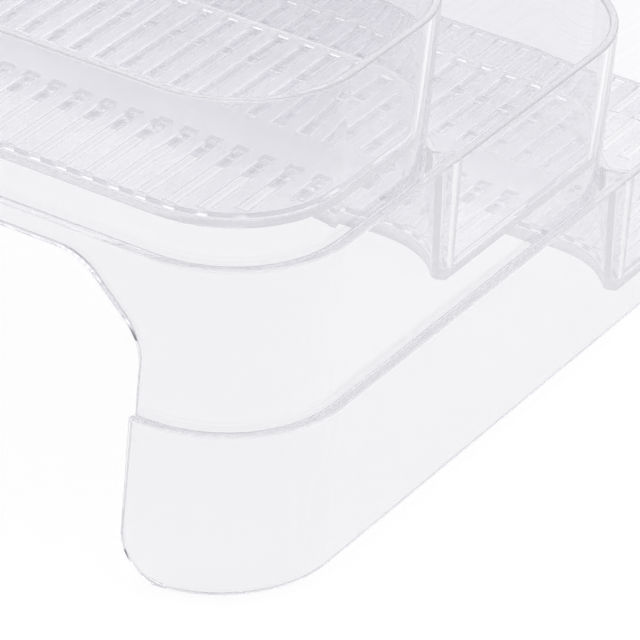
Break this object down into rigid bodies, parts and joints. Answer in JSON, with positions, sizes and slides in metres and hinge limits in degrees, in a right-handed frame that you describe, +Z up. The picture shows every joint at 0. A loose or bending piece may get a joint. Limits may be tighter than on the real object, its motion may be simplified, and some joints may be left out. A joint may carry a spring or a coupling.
{
  "type": "tiered storage box",
  "caption": "Clear stepped storage box of stacked rounded trays with loose slotted drain plates and an arched opening through the high end.",
  "frame": {"origin": "middle of the bounding box at the base, where the box stands on the table", "axes": "+X along the width, +Y from the low tier in front to the high tier at the back, +Z up"},
  "size_m": [0.3, 0.276, 0.1362],
  "materials": {
    "tier_plastic": "polished clear moulding",
    "plate_plastic": "clear moulding"
  },
  "bodies": {
    "bottom_tier": {"bottom_tier": "tier_plastic"},
    "middle_tier": {"middle_tier": "tier_plastic"},
    "top_bin": {"top_bin": "tier_plastic"},
    "bottom_plate": {"bottom_drain_plate": "plate_plastic"},
    "middle_plate": {"middle_drain_plate": "plate_plastic"},
    "top_plate": {"top_drain_plate": "plate_plastic"}
  },
  "joints": [
    {"name": "middle_tier_lift", "type": "slide", "parent": "bottom_tier", "child": "middle_tier", "axis": [0, 0, 1], "range_m": [0, 0.06]},
    {"name": "top_bin_lift", "type": "slide", "parent": "middle_tier", "child": "top_bin", "axis": [0, 0, 1], "range_m": [0, 0.06]},
    {"name": "bottom_plate_lift", "type": "slide", "parent": "bottom_tier", "child": "bottom_plate", "axis": [0, 0, 1], "range_m": [0, 0.05]},
    {"name": "middle_plate_lift", "type": "slide", "parent": "middle_tier", "child": "middle_plate", "axis": [0, 0, 1], "range_m": [0, 0.05]},
    {"name": "top_plate_lift", "type": "slide", "parent": "top_bin", "child": "top_plate", "axis": [0, 0, 1], "range_m": [0, 0.05]}
  ]
}
